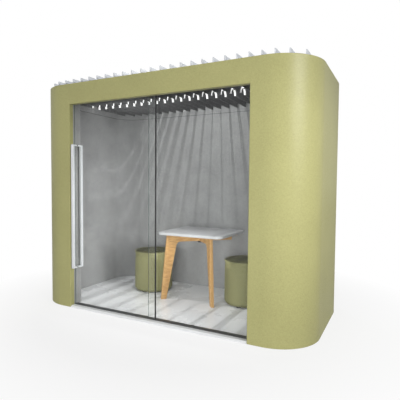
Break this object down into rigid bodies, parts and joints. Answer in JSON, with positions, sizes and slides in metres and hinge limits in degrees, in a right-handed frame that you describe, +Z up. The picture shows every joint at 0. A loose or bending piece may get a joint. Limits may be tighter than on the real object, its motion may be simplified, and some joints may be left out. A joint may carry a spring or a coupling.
{
  "type": "acoustic office pod",
  "caption": "Free-standing acoustic meeting pod with round fabric-clad corners, a sliding glass front, an upright-board roof, a table and stools.",
  "frame": {"origin": "on the ground, under the middle of the pod's plan", "axes": "+X to the right along the glazed front, +Y from the front to the back, +Z up"},
  "size_m": [2.89, 1.478, 2.3],
  "materials": {
    "floor_laminate": "satin",
    "wall_core": "matte",
    "green_fabric": "matte",
    "grey_felt": "matte",
    "grey_board": "matte",
    "white_coat": "satin",
    "dark_aluminium": "satin",
    "clear_glass": "polished",
    "bright_steel": "satin",
    "nylon": "satin",
    "roof_board": "matte",
    "opal_light": "satin",
    "white_laminate": "satin",
    "oak": "satin",
    "black_metal": "satin",
    "stool_fabric": "matte",
    "black_plastic": "satin"
  },
  "bodies": {
    "pod": {"floor_deck": "floor_laminate", "left_wall_core": "wall_core", "right_wall_core": "wall_core", "back_wall_core": "wall_core", "left_cladding": "green_fabric", "right_cladding": "green_fabric", "header_cladding": "green_fabric", "left_lining": "grey_felt", "right_lining": "grey_felt", "back_lining": "grey_felt", "header_beam": "grey_board", "threshold": "white_coat", "bottom_track": "dark_aluminium", "top_track": "dark_aluminium", "fixed_glass": "clear_glass", "baffle_01": "roof_board", "baffle_02": "roof_board", "baffle_03": "roof_board", "baffle_04": "roof_board", "baffle_05": "roof_board", "baffle_06": "roof_board", "baffle_07": "roof_board", "baffle_08": "roof_board", "baffle_09": "roof_board", "baffle_10": "roof_board", "baffle_11": "roof_board", "baffle_12": "roof_board", "baffle_13": "roof_board", "baffle_14": "roof_board", "baffle_15": "roof_board", "baffle_16": "roof_board", "baffle_17": "roof_board", "baffle_18": "roof_board", "baffle_19": "roof_board", "baffle_20": "roof_board", "baffle_21": "roof_board", "baffle_22": "roof_board", "baffle_23": "roof_board", "baffle_24": "roof_board", "baffle_25": "roof_board", "baffle_26": "roof_board", "baffle_27": "roof_board", "light_rail": "dark_aluminium", "led_strip": "opal_light", "table_top": "white_laminate", "left_leg_frame": "oak", "right_leg_frame": "oak", "table_hub": "black_metal", "table_cleat": "oak"},
    "door": {"sliding_glass": "clear_glass", "outer_handle": "white_coat", "inner_handle": "white_coat", "left_hanger": "bright_steel", "right_hanger": "bright_steel"},
    "left_wheels": {"left_wheelset": "nylon"},
    "right_wheels": {"right_wheelset": "nylon"},
    "left_stool": {"left_stool_drum": "stool_fabric", "left_stool_base": "black_plastic"},
    "right_stool": {"right_stool_drum": "stool_fabric", "right_stool_base": "black_plastic"}
  },
  "joints": [
    {"name": "door_slide", "type": "slide", "parent": "pod", "child": "door", "axis": [1, 0, 0], "range_m": [0, 0.83]},
    {"name": "left_wheel_spin", "type": "hinge", "parent": "door", "child": "left_wheels", "pos_m": [-0.805, -0.674, 2.143], "axis": [0, 1, 0], "range_deg": [0, 3970]},
    {"name": "right_wheel_spin", "type": "hinge", "parent": "door", "child": "right_wheels", "pos_m": [-0.1, -0.674, 2.143], "axis": [0, 1, 0], "range_deg": [0, 3970]},
    {"name": "left_stool_slide", "type": "slide", "parent": "pod", "child": "left_stool", "axis": [-1, 0, 0], "range_m": [0, 0.45]},
    {"name": "right_stool_slide", "type": "slide", "parent": "pod", "child": "right_stool", "axis": [1, 0, 0], "range_m": [0, 0.45]}
  ],
  "couplings": [
    {"joint": "left_wheel_spin", "follows": "door_slide", "rad_per_m": 83.333},
    {"joint": "right_wheel_spin", "follows": "door_slide", "rad_per_m": 83.333}
  ]
}
